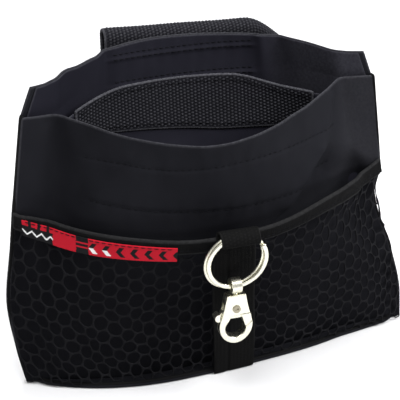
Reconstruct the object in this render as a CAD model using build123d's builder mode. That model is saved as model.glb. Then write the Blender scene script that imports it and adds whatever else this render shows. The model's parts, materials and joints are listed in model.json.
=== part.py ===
"""Treat pouch: a soft two-panel bag with a lens-shaped base, a bound net pocket on its front,
a divider inside, a belt loop behind, and a split ring with a swivel clasp on a webbing strap.

Millimetres. +X is the right as seen from the front, +Y goes from the front of the bag to its
back, +Z is up. The origin is on the resting plane, at the middle of the base.
"""

from build123d import *
import math
import os

os.makedirs("parts", exist_ok=True)

# Cloth and webbing
NYLON = 1.2
LINING = 0.8
DIVIDER_CLOTH = 0.8
NET = 1.0
WEBBING = 1.5
BINDING = 1.2
LABEL = 0.6
SEWN_GAP = 0.05
SEAM_HALF_GAP = 0.6

# Bag, pocket and base sizes
BASE_THICKNESS = 1.6
FRONT_HEIGHT = 124.0
BACK_HEIGHT = 140.0
DIVIDER_HEIGHT = 122.0
DIVIDER_BAND = 27.0
DIVIDER_BAND_HALF = 58.0
FACING_DEPTH = 38.0
STIFFENER_TOP = 108.0
STIFFENER_BOTTOM = 90.0
STIFFENER_HALF = 60.0
POCKET_SIDE_HEIGHT = 81.0
POCKET_MIDDLE_HEIGHT = 76.0
POCKET_BINDING = 5.0
LABEL_HEIGHT = 7.0
LABEL_LEFT = -88.0
LABEL_RIGHT = -20.0
BASE_HALF = 96.0
BASE_DEPTH = 24.2
BASE_SHOULDER = (0.55, 0.8)
SEAM_TAPE_DEPTH = 5.0
SEAM_TAPE = 1.5
REACH = 200.0

# The side seams, by height: height, half-width of the bag, y of the seam
SEAM = [
    (BASE_THICKNESS, 94.0, 0.0),
    (42.0, 92.0, 3.8),
    (60.0, 90.6, 5.9),
    (81.0, 88.8, 8.2),
    (102.0, 86.0, 9.7),
    (FRONT_HEIGHT, 83.0, 11.0),
    (BACK_HEIGHT, 77.0, 11.0),
]

# Wall lines at those heights, from the base up: the inner corner of the flat flange beside
# the seam, the point a quarter of the way across, and the y of the middle.
FRONT_WALL = [
    ((80.0, -4.0), (48.0, -13.5), -17.0),
    ((79.0, 0.5), (47.0, -13.5), -17.0),
    ((76.5, 2.5), (46.0, -14.5), -19.0),
    ((72.6, 6.0), (44.8, -15.5), -23.5),
    ((69.0, 9.2), (43.5, -13.5), -27.0),
    ((66.0, 12.0), (42.0, -9.5), -28.8),
]
BACK_WALL = [
    ((80.0, 6.0), (48.0, 17.5), 22.5),
    ((79.2, 9.0), (47.2, 25.5), 30.5),
    ((77.5, 10.4), (46.5, 28.5), 33.5),
    ((73.5, 12.4), (45.2, 32.0), 37.0),
    ((69.0, 14.2), (44.0, 35.2), 40.3),
    ((66.5, 15.6), (42.6, 38.0), 44.2),
    ((64.5, 16.6), (42.0, 39.5), 46.0),
]
DIVIDER_WALL = [
    ((78.0, 1.0), (46.0, 4.0), 6.0),
    ((76.3, 6.0), (46.0, 12.3), 16.0),
    ((75.0, 8.0), (45.8, 16.0), 21.0),
    ((71.5, 10.8), (45.0, 20.0), 26.0),
    ((67.0, 13.0), (44.0, 24.5), 31.5),
    ((65.3, 14.4), (43.0, 27.4), 35.5),
]
POCKET_WALL = [
    ((82.0, -9.0), (50.0, -19.5), -23.0),
    ((81.0, -8.0), (49.0, -23.5), -26.4),
    ((78.0, -6.0), (48.0, -26.5), -32.0),
    ((74.0, -2.5), (46.0, -27.5), -39.0),
]

# Belt loop: a wide webbing flap, folded over above the back rim and sewn down lower behind it
LOOP_LEFT = -35.0
LOOP_RIGHT = 48.0
LOOP_TOP = 148.0
LOOP_FOLD_RADIUS = 4.5
LOOP_BOTTOM = 72.0
LOOP_FRONT_BOTTOM = 108.0
LOOP_CLEARANCE = 0.4
LOOP_LEAN = 2.0
LOOP_FOOT = 16.0
LOOP_FOOT_Y = 38.2

# Strap, its folded end, which leans a little to the left, and the ring that hangs in the fold
STRAP_HALF_WIDTH = 9.5
STRAP_ROUTE = [(-26.6, 4.5), (-28.5, 42.0), (-34.2, 60.0), (-38.6, 71.0), (-40.3, 76.0), (-40.4, 79.5)]
FOLD_HALF_WIDTH = 8.5
FOLD_X = -3.0
FOLD_Y = -44.4
FOLD_Z = 79.5
FOLD_INNER = 3.35
FOLD_CLOTH = 1.3
RING_OUTER = 14.3
RING_RADIAL = 2.0
RING_COIL = 1.6
RING_TILT = 8.0
RING_DROP = 1.7
COIL_GROOVE = 0.25
COIL_ROUND = 0.5

# Swivel clasp, measured down from the middle of the ring wire that it hangs on
EYE_INNER = 2.3
EYE_OUTER = 3.6
EYE_WIDTH = 4.5
EYE_STEM_ROOT = 0.6
STEM_RADIUS = 1.2
STEM_HEAD_RADIUS = 1.9
STEM_HEAD_TOP = 6.3
STEM_HEAD_BOTTOM = 7.7
SWIVEL_CLEARANCE = 0.05
CHAMBER_CLEARANCE = 0.1
CLASP_TOP = 4.0
CLASP_BOTTOM = 28.5
CLASP_THICKNESS = 5.0
CLASP_EDGE = 0.5
COLLAR_HALF = 4.35
COLLAR_FLARE = 0.2
SHOULDER = (6.3, 13.0)
CLASP_HALF = 7.8
CLASP_WAIST = 19.5
HOOK_HALF = 6.2
HOOK_TURN = 25.0
PIVOT_DROP = 10.9
RIVET_RADIUS = 1.1
RIVET_HEAD_RADIUS = 1.8
RIVET_HEAD = 0.5
RIVET_DIMPLE = 0.8
RIVET_DIMPLE_TAPER = 30
SLOT_HALF = 1.15
SLOT_TOP = 8.3
SLOT_BOTTOM = 18.6
LEVER_HALF = 0.9
HUB_RADIUS = 2.4
GATE_TOP = 14.1
GATE_REACH = 10.45
GATE_GAP = 0.15
GATE_ROOT = 2.4
GATE_PROUD = 0.4
GATE_ARM = (4.6, 15.4)
LEVER_ARM = (-8.4, 15.2)
ARM_RADIUS = 1.0
THROAT_HALF = 2.2
THROAT_TOP = 14.4
THUMB = (-8.0, 14.7)
THUMB_RADIUS = 1.85
THUMB_INNER = -7.5
THUMB_HALF = 1.9
HOOK_RADIUS = 4.9
HOOK_CENTRE = (-0.2, -20.6)
SPRING_WIRE = 0.18
SPRING_RADIUS = 1.55
SPRING_PITCH = 0.42
SPRING_TURNS = 1.5
SPRING_POCKET = 2.0
SPRING_POCKET_DEPTH = 1.1


def save(piece, name):
    """Label a finished piece and write it as its own STEP file."""
    piece.part.label = name
    export_step(piece.part, f"parts/{name}.step")


def wall_line(half, seam_y, row, shift):
    """Draw one wall line from seam to seam: flat flanges at the sides, one curve between."""
    (kink_x, kink_y), (quarter_x, quarter_y), middle_y = row
    Line((-half, seam_y + shift), (-kink_x, kink_y + shift))
    Spline(
        (-kink_x, kink_y + shift),
        (-quarter_x, quarter_y + shift),
        (0, middle_y + shift),
        (quarter_x, quarter_y + shift),
        (kink_x, kink_y + shift),
    )
    Line((kink_x, kink_y + shift), (half, seam_y + shift))


def loft_wall(rows, near, far, seam_shift=0.0):
    """Loft a thin wall through its rows, between two offsets along Y."""
    with BuildPart() as wall:
        for (height, half, seam_y), row in zip(SEAM, rows):
            seam = seam_y + seam_shift
            with BuildSketch(Plane.XY.offset(height)):
                with BuildLine():
                    wall_line(half, seam, row, near)
                    wall_line(half, seam, row, far)
                    Line((-half, seam + near), (-half, seam + far))
                    Line((half, seam + near), (half, seam + far))
                make_face()
        loft(ruled=True)
    return wall.part


def band(left, right, low, high):
    """Outline the part of a wall that lies inside a rectangle of X and Z."""
    with BuildSketch(Plane.XZ) as outline:
        with Locations(((left + right) / 2, (low + high) / 2)):
            Rectangle(right - left, high - low)
    return outline.sketch


def sagging_band(low, high, left=-BASE_HALF, right=BASE_HALF):
    """Outline the part of the pocket between two lines that sag like its top edge."""
    sag = POCKET_SIDE_HEIGHT - POCKET_MIDDLE_HEIGHT
    with BuildSketch(Plane.XZ) as outline:
        with BuildLine():
            upper = ThreePointArc((-BASE_HALF, high), (0, high - sag), (BASE_HALF, high))
            lower = ThreePointArc((-BASE_HALF, low), (0, low - sag), (BASE_HALF, low))
            Line(upper @ 0, lower @ 0)
            Line(upper @ 1, lower @ 1)
        make_face()
        with Locations(((left + right) / 2, 0)):
            Rectangle(right - left, 4 * POCKET_SIDE_HEIGHT, mode=Mode.INTERSECT)
    return outline.sketch


def keep(outline):
    """Trim the piece being made to what stands behind and in front of an outline."""
    extrude(outline, amount=REACH, both=True, mode=Mode.INTERSECT)


def lens(inset):
    """Draw the base outline, pointed at both side seams, drawn in by an inset."""
    half = BASE_HALF - inset
    depth = BASE_DEPTH - inset
    shoulder_x = BASE_SHOULDER[0] * half
    shoulder_y = BASE_SHOULDER[1] * depth
    with BuildSketch(Plane.XY) as outline:
        with BuildLine():
            for side in (-1, 1):
                Spline(
                    (-half, 0),
                    (-shoulder_x, side * shoulder_y),
                    (0, side * depth),
                    (shoulder_x, side * shoulder_y),
                    (half, 0),
                )
        make_face()
    return outline.sketch


# Bag panels
with BuildPart() as base_panel:
    extrude(lens(SEWN_GAP), amount=BASE_THICKNESS - SEWN_GAP)
save(base_panel, "base_panel")

with BuildPart() as front_panel:
    add(loft_wall(FRONT_WALL, 0, -NYLON, -SEAM_HALF_GAP))
save(front_panel, "front_panel")

with BuildPart() as back_panel:
    add(loft_wall(BACK_WALL, 0, NYLON, SEAM_HALF_GAP))
save(back_panel, "back_panel")

# Turned-in facings behind both rims, and the stay sewn into the front one
with BuildPart() as front_rim_facing:
    add(loft_wall(FRONT_WALL, SEWN_GAP + LINING, SEWN_GAP + 2 * LINING, -SEAM_HALF_GAP))
    keep(band(-STIFFENER_HALF, STIFFENER_HALF, FRONT_HEIGHT - FACING_DEPTH, FRONT_HEIGHT))
save(front_rim_facing, "front_rim_facing")

with BuildPart() as front_stiffener:
    add(loft_wall(FRONT_WALL, SEWN_GAP, LINING, -SEAM_HALF_GAP))
    keep(band(-STIFFENER_HALF, STIFFENER_HALF, STIFFENER_BOTTOM, STIFFENER_TOP))
save(front_stiffener, "front_stiffener")

with BuildPart() as back_rim_facing:
    add(loft_wall(BACK_WALL, -SEWN_GAP, -SEWN_GAP - LINING, SEAM_HALF_GAP))
    keep(band(-STIFFENER_HALF, STIFFENER_HALF, BACK_HEIGHT - FACING_DEPTH, BACK_HEIGHT))
save(back_rim_facing, "back_rim_facing")

# Divider: a cloth curtain from seam to seam with a webbing band along its top
divider_face = -DIVIDER_CLOTH / 2

with BuildPart() as divider_panel:
    add(loft_wall(DIVIDER_WALL, divider_face, DIVIDER_CLOTH / 2))
    keep(band(-BASE_HALF, BASE_HALF, 0, DIVIDER_HEIGHT))
save(divider_panel, "divider_panel")

with BuildPart() as divider_webbing:
    add(loft_wall(DIVIDER_WALL, divider_face - SEWN_GAP, divider_face - SEWN_GAP - WEBBING))
    keep(band(-DIVIDER_BAND_HALF, DIVIDER_BAND_HALF, DIVIDER_HEIGHT - DIVIDER_BAND, DIVIDER_HEIGHT))
save(divider_webbing, "divider_webbing")

# Net pocket, the tape that binds its top edge, and the woven label sewn on the tape
pocket_seam_shift = -SEAM_HALF_GAP - NYLON - 2 * SEWN_GAP
label_face = -NET - LINING - SEWN_GAP

with BuildPart() as mesh_pocket:
    add(loft_wall(POCKET_WALL, 0, -NET, pocket_seam_shift))
    keep(sagging_band(-POCKET_SIDE_HEIGHT, POCKET_SIDE_HEIGHT - POCKET_BINDING))
save(mesh_pocket, "mesh_pocket")

with BuildPart() as pocket_binding:
    add(loft_wall(POCKET_WALL, 0, -NET - LINING, pocket_seam_shift))
    keep(sagging_band(POCKET_SIDE_HEIGHT - POCKET_BINDING + SEWN_GAP, POCKET_SIDE_HEIGHT))
save(pocket_binding, "pocket_binding")

with BuildPart() as pocket_label:
    add(loft_wall(POCKET_WALL, label_face, label_face - LABEL, pocket_seam_shift))
    label_low = POCKET_SIDE_HEIGHT - LABEL_HEIGHT
    keep(sagging_band(label_low, POCKET_SIDE_HEIGHT - SEWN_GAP, LABEL_LEFT, LABEL_RIGHT))
save(pocket_label, "pocket_label")


# Bound edges: tape folded round each side seam and round the base
def seam_tape(side):
    """Loft the tape that wraps one side seam, from the base to the front rim."""
    with BuildPart() as tape:
        for height, half, seam_y in SEAM[: len(FRONT_WALL)]:
            with BuildSketch(Plane.XY.offset(height)):
                with Locations((side * (half + SEWN_GAP + SEAM_TAPE / 2), seam_y)):
                    Rectangle(SEAM_TAPE, SEAM_TAPE_DEPTH)
        loft(ruled=True)
    return tape.part


with BuildPart() as side_seam_left:
    add(seam_tape(-1))
save(side_seam_left, "side_seam_left")

with BuildPart() as side_seam_right:
    add(seam_tape(1))
save(side_seam_right, "side_seam_right")

with BuildPart() as base_binding:
    extrude(lens(-BINDING), amount=BASE_THICKNESS - SEWN_GAP)
    extrude(lens(0), amount=BASE_THICKNESS, mode=Mode.SUBTRACT)
save(base_binding, "base_binding")

# Belt loop, as one folded strip seen from its edge
loop_front_y = BACK_WALL[-1][2] + NYLON + LOOP_CLEARANCE + WEBBING / 2
loop_rear_y = loop_front_y + 2 * LOOP_FOLD_RADIUS
loop_fold_z = LOOP_TOP - LOOP_FOLD_RADIUS - WEBBING / 2

with BuildPart() as belt_loop:
    with BuildSketch(Plane.YZ.offset(LOOP_LEFT)):
        with BuildLine():
            Line((loop_front_y - LOOP_LEAN, LOOP_FRONT_BOTTOM), (loop_front_y, loop_fold_z))
            fold = ThreePointArc(
                (loop_front_y, loop_fold_z),
                (loop_front_y + LOOP_FOLD_RADIUS, loop_fold_z + LOOP_FOLD_RADIUS),
                (loop_rear_y, loop_fold_z),
            )
            rear_ply = Line(fold @ 1, (loop_rear_y - LOOP_LEAN, LOOP_BOTTOM + LOOP_FOOT))
            Line(rear_ply @ 1, (LOOP_FOOT_Y, LOOP_BOTTOM))
        trace(line_width=WEBBING)
    extrude(amount=LOOP_RIGHT - LOOP_LEFT)
save(belt_loop, "belt_loop")

# Centre strap: one length of webbing, folded over at the top into a loop for the ring
with BuildPart() as center_strap:
    with BuildSketch(Plane.YZ):
        with BuildLine():
            Polyline((STRAP_ROUTE[0][0], SEWN_GAP), *STRAP_ROUTE)
        trace(line_width=WEBBING)
    extrude(amount=STRAP_HALF_WIDTH, both=True)
    with BuildSketch(Plane.YZ.offset(FOLD_X)):
        with Locations((FOLD_Y, FOLD_Z)):
            Circle(FOLD_INNER + FOLD_CLOTH)
    extrude(amount=FOLD_HALF_WIDTH, both=True)
    with BuildSketch(Plane.YZ):
        with Locations((FOLD_Y, FOLD_Z)):
            Circle(FOLD_INNER)
    extrude(amount=2 * FOLD_HALF_WIDTH, both=True, mode=Mode.SUBTRACT)
save(center_strap, "center_strap")

# Split ring, tilted back a little towards the bag
tilt = math.radians(RING_TILT)
ring_wire = RING_OUTER - RING_RADIAL / 2
ring_centre_drop = ring_wire - RING_DROP
ring_bottom_drop = ring_centre_drop + ring_wire
ring_centre = (
    FOLD_X,
    FOLD_Y + ring_centre_drop * math.sin(tilt),
    FOLD_Z - ring_centre_drop * math.cos(tilt),
)
ring_plane = Plane(origin=ring_centre, x_dir=(1, 0, 0), z_dir=(0, -math.cos(tilt), -math.sin(tilt)))

with BuildPart() as split_ring:
    with BuildSketch(ring_plane.offset(-RING_COIL)):
        Circle(RING_OUTER)
        Circle(RING_OUTER - RING_RADIAL, mode=Mode.SUBTRACT)
    extrude(amount=2 * RING_COIL)
    with BuildSketch(ring_plane.offset(-COIL_GROOVE / 2)):
        Circle(RING_OUTER)
        Circle(RING_OUTER - COIL_GROOVE, mode=Mode.SUBTRACT)
        Circle(RING_OUTER - RING_RADIAL + COIL_GROOVE)
        Circle(RING_OUTER - RING_RADIAL, mode=Mode.SUBTRACT)
    extrude(amount=COIL_GROOVE, mode=Mode.SUBTRACT)
    rims = split_ring.edges().filter_by(GeomType.CIRCLE).group_by(Axis(ring_centre, ring_plane.z_dir))
    fillet(rims[0] + rims[-1], COIL_ROUND)
save(split_ring, "split_ring")

# Swivel clasp. Its pieces are drawn in the XZ plane through the ring wire that they hang on.
hang = (
    FOLD_X,
    FOLD_Y + ring_bottom_drop * math.sin(tilt),
    FOLD_Z - ring_bottom_drop * math.cos(tilt),
)
clasp_face = Plane(origin=hang, x_dir=(1, 0, 0), z_dir=(0, -1, 0))
clasp_edge = Plane(origin=hang, x_dir=(0, 1, 0), z_dir=(1, 0, 0))
swivel_axis = Plane(origin=hang, x_dir=(1, 0, 0), z_dir=(0, 0, -1))
pivot = (0, -PIVOT_DROP)

with BuildPart() as swivel_bail:
    with BuildSketch(clasp_edge):
        Circle(EYE_OUTER)
    extrude(amount=EYE_WIDTH / 2, both=True)
    with BuildSketch(swivel_axis.offset(EYE_OUTER - EYE_STEM_ROOT)):
        Circle(STEM_RADIUS)
    extrude(amount=STEM_HEAD_BOTTOM - EYE_OUTER + EYE_STEM_ROOT)
    with BuildSketch(swivel_axis.offset(STEM_HEAD_TOP)):
        Circle(STEM_HEAD_RADIUS)
    extrude(amount=STEM_HEAD_BOTTOM - STEM_HEAD_TOP)
    with BuildSketch(clasp_edge):
        Circle(EYE_INNER)
    extrude(amount=EYE_WIDTH, both=True, mode=Mode.SUBTRACT)
save(swivel_bail, "swivel_bail")

with BuildPart() as clasp_body:
    with BuildSketch(clasp_face):
        with BuildLine():
            collar = Line((-COLLAR_HALF, -CLASP_TOP), (COLLAR_HALF, -CLASP_TOP))
            Spline(
                collar @ 1,
                (SHOULDER[0], -SHOULDER[1]),
                (CLASP_HALF, -CLASP_WAIST),
                (HOOK_HALF, -HOOK_TURN),
                (0, -CLASP_BOTTOM),
                (-HOOK_HALF, -HOOK_TURN),
                (-CLASP_HALF, -CLASP_WAIST),
                (-SHOULDER[0], -SHOULDER[1]),
                collar @ 0,
                tangents=[(COLLAR_FLARE, -1), (COLLAR_FLARE, 1)],
            )
        make_face()
        with Locations(HOOK_CENTRE):
            Circle(HOOK_RADIUS, mode=Mode.SUBTRACT)
        with BuildLine(mode=Mode.PRIVATE) as throat:
            Polyline(
                (HOOK_CENTRE[0] - HOOK_RADIUS, HOOK_CENTRE[1]),
                (-THROAT_HALF, -THROAT_TOP),
                (THROAT_HALF, -THROAT_TOP),
                (HOOK_CENTRE[0] + HOOK_RADIUS, HOOK_CENTRE[1]),
                close=True,
            )
        make_face(throat.edges(), mode=Mode.SUBTRACT)
        with BuildLine(mode=Mode.PRIVATE) as gate_notch:
            Polyline(
                (THROAT_HALF - GATE_GAP, -GATE_TOP),
                (2 * CLASP_HALF, -GATE_TOP),
                (2 * CLASP_HALF, -PIVOT_DROP - GATE_REACH),
                (THROAT_HALF - GATE_GAP, -PIVOT_DROP - GATE_REACH),
                close=True,
            )
        with BuildSketch(mode=Mode.PRIVATE) as gate_sweep:
            make_face(gate_notch.edges())
            with Locations(pivot):
                Circle(GATE_REACH, mode=Mode.INTERSECT)
        add(gate_sweep.sketch, mode=Mode.SUBTRACT)
    extrude(amount=CLASP_THICKNESS / 2, both=True)
    front_and_back = clasp_body.faces().sort_by(Axis.Y)
    fillet(front_and_back[0].edges() + front_and_back[-1].edges(), CLASP_EDGE)
    with BuildSketch(clasp_face):
        with Locations((0, -(SLOT_TOP + SLOT_BOTTOM) / 2)):
            Rectangle(4 * CLASP_HALF, SLOT_BOTTOM - SLOT_TOP)
    extrude(amount=SLOT_HALF, both=True, mode=Mode.SUBTRACT)
    with BuildSketch(swivel_axis.offset(CLASP_TOP - SWIVEL_CLEARANCE)):
        Circle(STEM_RADIUS + SWIVEL_CLEARANCE)
    extrude(amount=STEM_HEAD_TOP - CLASP_TOP, mode=Mode.SUBTRACT)
    with BuildSketch(swivel_axis.offset(STEM_HEAD_TOP - CHAMBER_CLEARANCE)):
        Circle(STEM_HEAD_RADIUS + CHAMBER_CLEARANCE)
    extrude(amount=STEM_HEAD_BOTTOM - STEM_HEAD_TOP + 2 * CHAMBER_CLEARANCE, mode=Mode.SUBTRACT)
    with BuildSketch(clasp_face):
        with Locations(pivot):
            Circle(RIVET_RADIUS)
    extrude(amount=CLASP_THICKNESS, both=True, mode=Mode.SUBTRACT)
save(clasp_body, "clasp_body")

with BuildPart() as lever_rivet:
    with BuildSketch(clasp_face):
        with Locations(pivot):
            Circle(RIVET_RADIUS)
    extrude(amount=CLASP_THICKNESS / 2, both=True)
    for side in (-1, 1):
        with BuildSketch(clasp_face.offset(side * (CLASP_THICKNESS + RIVET_HEAD) / 2)):
            with Locations(pivot):
                Circle(RIVET_HEAD_RADIUS)
        extrude(amount=RIVET_HEAD / 2, both=True)
    with BuildSketch(clasp_face.offset(CLASP_THICKNESS / 2 + RIVET_HEAD)):
        with Locations(pivot):
            Circle(RIVET_DIMPLE)
    extrude(amount=-RIVET_HEAD, taper=RIVET_DIMPLE_TAPER, mode=Mode.SUBTRACT)
save(lever_rivet, "lever_rivet")

with BuildPart() as clasp_lever:
    with BuildSketch(clasp_face):
        with Locations(pivot):
            Circle(HUB_RADIUS)
        with Locations((LEVER_ARM[0], -LEVER_ARM[1]), (GATE_ARM[0], -GATE_ARM[1])):
            Circle(ARM_RADIUS)
        make_hull()
    extrude(amount=LEVER_HALF, both=True)
    with BuildSketch(clasp_face):
        with Locations((THUMB[0], -THUMB[1])):
            Circle(THUMB_RADIUS)
        with Locations((THUMB_INNER - THUMB_RADIUS, -THUMB[1])):
            Rectangle(2 * THUMB_RADIUS, 2 * THUMB_RADIUS, mode=Mode.INTERSECT)
    extrude(amount=THUMB_HALF, both=True)
    with BuildSketch(clasp_face):
        with BuildLine():
            Polyline(
                (GATE_ROOT, -GATE_TOP - GATE_GAP),
                (SHOULDER[0] + GATE_PROUD, -GATE_TOP - GATE_GAP),
                (CLASP_HALF, -CLASP_WAIST),
                (HOOK_CENTRE[0] + HOOK_RADIUS, -PIVOT_DROP - GATE_REACH),
                close=True,
            )
        make_face()
        with Locations(pivot):
            Circle(GATE_REACH - GATE_GAP, mode=Mode.INTERSECT)
    extrude(amount=CLASP_THICKNESS / 2 - GATE_GAP, both=True)
    with BuildSketch(clasp_face):
        with Locations(pivot):
            Circle(RIVET_RADIUS + SWIVEL_CLEARANCE)
    extrude(amount=CLASP_THICKNESS, both=True, mode=Mode.SUBTRACT)
    with BuildSketch(clasp_face.offset(-LEVER_HALF)):
        with Locations(pivot):
            Circle(SPRING_POCKET)
    extrude(amount=SPRING_POCKET_DEPTH, mode=Mode.SUBTRACT)
save(clasp_lever, "clasp_lever")

# Torsion spring round the rivet, in the pocket on the lever's far side
spring_start = (
    hang[0],
    hang[1] + LEVER_HALF - SPRING_WIRE - SWIVEL_CLEARANCE,
    hang[2] - PIVOT_DROP,
)
with BuildPart() as lever_spring:
    with BuildLine():
        coil = Helix(
            SPRING_PITCH,
            SPRING_PITCH * SPRING_TURNS,
            SPRING_RADIUS,
            center=spring_start,
            direction=(0, -1, 0),
        )
    with BuildSketch(Plane(origin=coil @ 0, z_dir=coil % 0)):
        Circle(SPRING_WIRE)
    sweep(is_frenet=True)
save(lever_spring, "lever_spring")
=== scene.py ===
"""Looks of the treat pouch: its cloth, net, webbing, stitching and nickel fittings, built round
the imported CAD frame. Lengths in this script are millimetres; piece() turns them into metres.
"""

import json
import math

import bmesh
import bpy
import numpy as np
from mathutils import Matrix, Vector, noise
from mathutils.bvhtree import BVHTree


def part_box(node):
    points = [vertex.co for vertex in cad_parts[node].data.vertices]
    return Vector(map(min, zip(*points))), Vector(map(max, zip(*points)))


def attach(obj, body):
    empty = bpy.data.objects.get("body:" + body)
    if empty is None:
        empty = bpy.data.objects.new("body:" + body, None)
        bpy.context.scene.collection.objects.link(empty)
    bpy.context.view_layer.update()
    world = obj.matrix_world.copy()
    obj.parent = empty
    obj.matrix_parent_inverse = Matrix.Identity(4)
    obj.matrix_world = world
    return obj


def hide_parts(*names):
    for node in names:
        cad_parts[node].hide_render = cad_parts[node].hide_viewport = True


MM = 0.001
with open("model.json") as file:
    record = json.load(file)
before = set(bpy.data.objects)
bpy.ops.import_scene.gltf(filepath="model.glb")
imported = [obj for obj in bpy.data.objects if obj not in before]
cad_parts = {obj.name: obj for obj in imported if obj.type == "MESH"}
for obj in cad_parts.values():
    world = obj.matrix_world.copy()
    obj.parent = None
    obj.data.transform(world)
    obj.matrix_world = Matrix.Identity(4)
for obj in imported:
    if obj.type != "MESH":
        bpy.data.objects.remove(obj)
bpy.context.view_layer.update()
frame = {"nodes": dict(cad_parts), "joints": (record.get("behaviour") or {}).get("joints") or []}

# Cloth thicknesses, the gaps left between layers, and the steps round a rounded edge
NYLON = 0.9
FACING = 0.45
DIVIDER = 0.7
WEBBING = 1.4
TAPE = 0.6
NET = 0.7
LABEL = 0.5
LAYER_GAP = 0.15
BAND_GAP = 0.1
EDGE_STEPS = 5
WALL_EASING = 6

# Heights of the free edges and sewn lines, as x and height, from the left side to the right
FRONT_RIM = [
    (-84, 125), (-69, 124), (-40, 118.5), (-12, 117), (14, 119.5), (40, 123), (66, 125), (84, 124.5),
]
BACK_RIM = [
    (-79, 137.5), (-70, 139), (-57, 137), (-40, 140), (-10, 142), (25, 140.5), (50, 139), (78, 136),
]
DIVIDER_RIM = [(-84, 113), (-50, 122.5), (-30, 125.5), (20, 124.5), (46, 118), (84, 112)]
DIVIDER_BAND_FOOT = [(-60, 109), (-33, 105.5), (-4, 102), (20, 99.5), (60, 100)]
POCKET_EDGE = [
    (-90, 82.5), (-77, 80), (-42, 78), (-18, 76.5), (14, 79), (46, 83.5), (60, 82.5), (72, 80.5), (90, 83),
]
CHANNEL_FOOT = [(-60, 90), (-30, 86), (0, 84), (20, 85), (60, 91)]
CHANNEL_TOP = [(-60, 108.5), (-25, 106), (25, 108.5), (60, 108)]
FACING_DEPTH = 38.0
POCKET_TAPE_DEPTH = 5.6

# Woven label: its place, its colours, how far along each part of its pattern ends, and its pitches
LABEL_SPAN = (-87.0, -27.5)
LABEL_HEIGHT = 6.9
LABEL_DROP = 2.3
RED = (0.42, 0.010, 0.022)
BLACK = (0.009, 0.009, 0.010)
WHITE = (0.72, 0.72, 0.72)
ZIGZAG_END = 15
PATCH_END = 27
BARS_END = 33
PALE_END = 45
ZIGZAG_PITCH = 4.4
CHEVRON_PITCH = 6.2

# How the bag has slumped: how far each side seam has moved outwards, by height, and how far
# the foot of the front has moved back, by x
SIDE_SHIFT = {
    -1: [(0, -3), (15, 0.5), (40, 4), (66, 2), (90, 1), (124, 0.5)],
    1: [(0, 3.5), (15, 5.5), (35, 2.5), (60, -4), (68, -4.5), (78, -0.5), (124, 1)],
}
FOOT_SHIFT = [(-96, -5), (-50, -3.5), (-8, -0.5), (28, 2), (58, 2.5), (72, 0.5), (96, -7)]
FOOT_REACH = 16.0

# From which share of the half width on a wall follows the side seams
SEAM_START = 0.75

# How far the net swells past each side seam, and from which share of the half width on
SWELL = {-1: 1.4, 1: 3.0}
SWELL_START = 0.93

# Sewn channel across the front, and the double rows that hold the belt loop
CHANNEL_HALF = 60.0
LOOP_ROWS = (121.5, 134.5)
LOOP_TWIN = 2.4
LOOP_SPAN = (-35.0, 37.0)
DIVIDER_BAND_HALF = 57.5

# Creases, each from one x and height to another, with its depth, width and spread; below zero it
# sinks in
FRONT_CREASES = [
    ((57, 120), (50, 102), 1.2, 3.0, 1.0),
    ((48, 100), (30, 80), 1.5, 3.4, 2.0),
    ((-63, 120), (-56, 82), 1.0, 4.0, 4.0),
    ((-70, 120), (-74, 84), -1.0, 3.5, 3.0),
    ((-44, 106), (-62, 88), -0.9, 3.0, 2.0),
]
BACK_CREASES = [
    ((-37, 139), (-39, 104), 1.3, 2.6, 2.0),
    ((-43, 139), (-46, 100), -1.2, 2.8, 3.0),
    ((39, 139), (43, 104), -1.4, 2.4, 2.5),
    ((47, 139), (52, 100), 1.5, 3.0, 3.0),
]

# The hollow at the right of the front: the ridge at its left and the brow above it, each from one
# x and height to another, its foot and its right end, and the widths over which each fades
TUCK_RIDGE = ((31, 81.5), (52, 104))
TUCK_BROW = ((52, 106), (82, 86))
TUCK_FOOT = 58
TUCK_END = 86
TUCK_RIDGE_FADE = 6
TUCK_BROW_FADE = 16
TUCK_END_FADE = 8
TUCK_DEPTH = 5.5

# Webbing relief: the pitch of its bumps along and across, and their height
WEAVE = (1.75, 1.55)
WEAVE_GRAIN = (0.66, 0.52)
WEAVE_RELIEF = 0.5
STITCH_PITCH = 2.9
STITCH_LENGTH = 2.2
THREAD = 0.19

# A stitch along its length: share of it, and girth and height in half thicknesses of the thread
STITCH_SHAPE = [(0, 0.45, -0.4), (0.2, 1, 0.5), (0.5, 1.1, 0.9), (0.8, 1, 0.5), (1, 0.45, -0.4)]

# Net: distances between columns and rows of cells, half width of a strand, and size of a knot
NET_COLUMN = 4.8
NET_ROW = 6.6
NET_STRAND = 0.25
NET_KNOT = 0.62
NET_TURN = 0.0022
NET_UNEVEN = 1.5
NET_LEVEL = 45.0
NET_FOOT = 1.2
NET_REACH = 30

# Centre strap, and the fold that holds the ring
FOLD_INNER = 3.7
STRAP_HALF = 9.5
STRAP_FOOT = 2.5
STRAP_SEAM = -3.2
TAB_HALF = 8.5
STRAP_PLY = 0.9
STRAP_STEP = 0.42

# Belt loop behind the bag, lower at its right end, where it droops past its fold
LOOP_TIP = 57.0
LOOP_BEND = 36.0
LOOP_SLOPE = 2.2
LOOP_SETTLE = 1.0
LOOP_DROOP = 14.0
LOOP_RADIUS = 5.25
LOOP_LEAN = 2.0
LOOP_FRONT = 34.0

# Split ring: sizes of its wire, its lean, where its wire starts and how much it lacks at its end,
# and how far the rear coil sits aside, and which way
RING_OUTER = 14.3
RING_RADIAL = 2.0
RING_COIL = 1.6
RING_TILT = math.radians(8.0)
RING_START = math.radians(38)
RING_GAP = math.radians(6)
RING_JOG = 0.075
COIL_SHIFT = 1.5
COIL_AWAY = (0.96, 0.28)

# Bound seams and the base
SEAM_TAPE = (1.3, 3.8, 0.6)
BASE_TAPE = (1.8, 2.4, 0.85)
BASE_CLOTH = 1.2
BASE_HEIGHT = 1.6
BASE_EASING = 12

# How dark the shaded cloth is
SHADE_DEPTH = 0.62

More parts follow.
